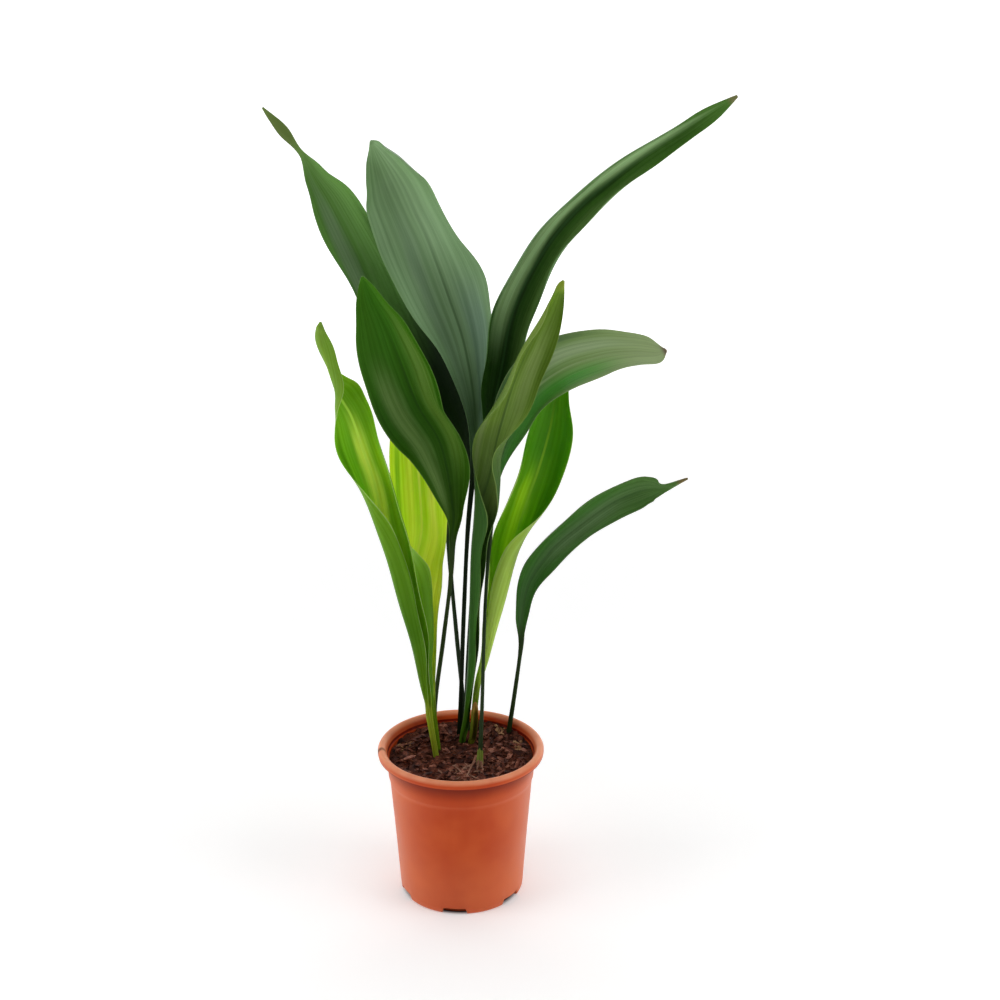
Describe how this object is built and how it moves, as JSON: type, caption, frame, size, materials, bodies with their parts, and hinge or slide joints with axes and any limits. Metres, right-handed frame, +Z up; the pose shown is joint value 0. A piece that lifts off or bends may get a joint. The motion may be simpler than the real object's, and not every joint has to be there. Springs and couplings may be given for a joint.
{
  "type": "potted cast iron plant",
  "caption": "Potted houseplant with long upright leaves on thin stalks, some young leaves rolled at the base, in a thin round nursery pot with a rolled lip and drain notches.",
  "frame": {"origin": "centre of the pot's flat base, on the plane that it stands on", "axes": "+Z up, -Y towards the front of the plant, +X to the right seen from the front"},
  "size_m": [0.3642, 0.1628, 0.6629],
  "materials": {
    "pot": "satin",
    "soil": "matte",
    "rhizome": "matte",
    "base_sheath": "matte",
    "leaf_young_left": "satin",
    "leaf_young_behind": "satin",
    "leaf_front_left": "satin",
    "leaf_tall_left": "satin",
    "leaf_tall_centre": "satin",
    "leaf_arching_right": "satin",
    "leaf_narrow_front": "satin",
    "leaf_level_right": "satin",
    "leaf_young_right": "satin",
    "leaf_low_right": "satin",
    "young_shoot": "satin"
  },
  "bodies": {
    "root": {"pot": "pot", "soil": "soil", "rhizome": "rhizome", "base_sheath": "base_sheath", "leaf_young_left": "leaf_young_left", "leaf_young_behind": "leaf_young_behind", "leaf_front_left": "leaf_front_left", "leaf_tall_left": "leaf_tall_left", "leaf_tall_centre": "leaf_tall_centre", "leaf_arching_right": "leaf_arching_right", "leaf_narrow_front": "leaf_narrow_front", "leaf_level_right": "leaf_level_right", "leaf_young_right": "leaf_young_right", "leaf_low_right": "leaf_low_right", "young_shoot": "young_shoot"}
  },
  "joints": []
}
